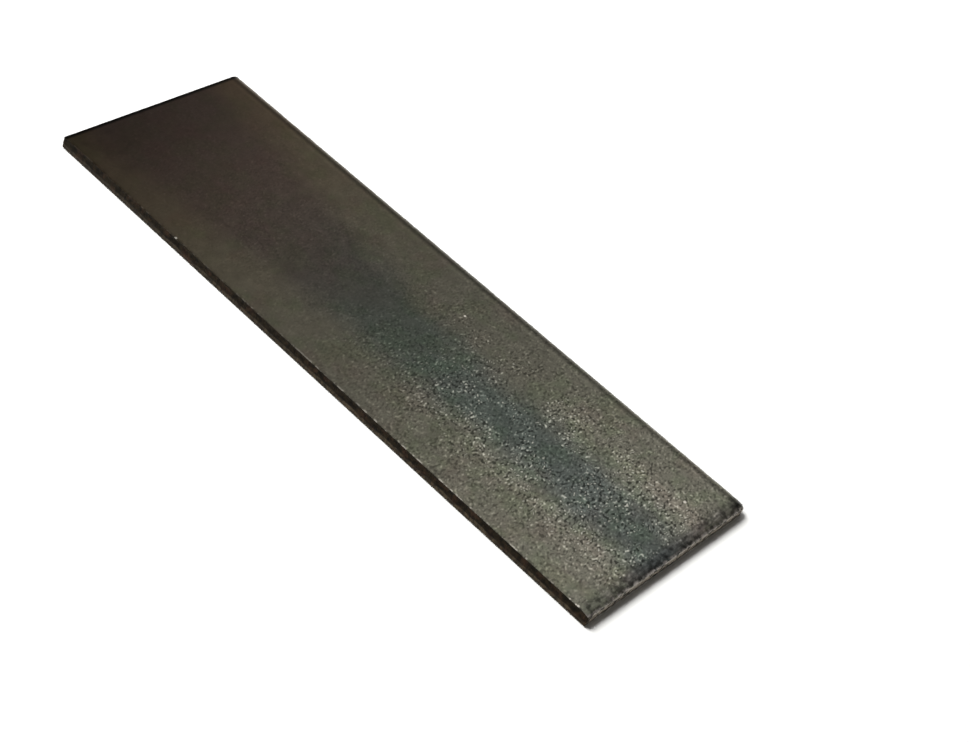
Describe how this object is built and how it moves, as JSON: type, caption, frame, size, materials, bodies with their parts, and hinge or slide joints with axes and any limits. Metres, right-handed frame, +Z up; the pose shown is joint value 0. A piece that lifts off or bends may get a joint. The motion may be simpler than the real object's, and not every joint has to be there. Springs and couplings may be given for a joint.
{
  "type": "steel flat bar",
  "caption": "Short cut piece of hot-rolled steel flat bar with dark mill scale, a sheared end and sheared long edges, for framing, brackets and plates.",
  "frame": {"origin": "centre of the bottom face, on the surface that the bar lies on", "axes": "+X along the bar to its sheared end, +Y across it to the side whose top edge is drawn down, +Z up through the thickness"},
  "size_m": [0.16, 0.05, 0.003],
  "materials": {
    "mill_scale_steel": "dark hot-rolled mill scale, semi-gloss, grained"
  },
  "bodies": {
    "root": {"flat_bar": "mill_scale_steel"}
  },
  "joints": []
}
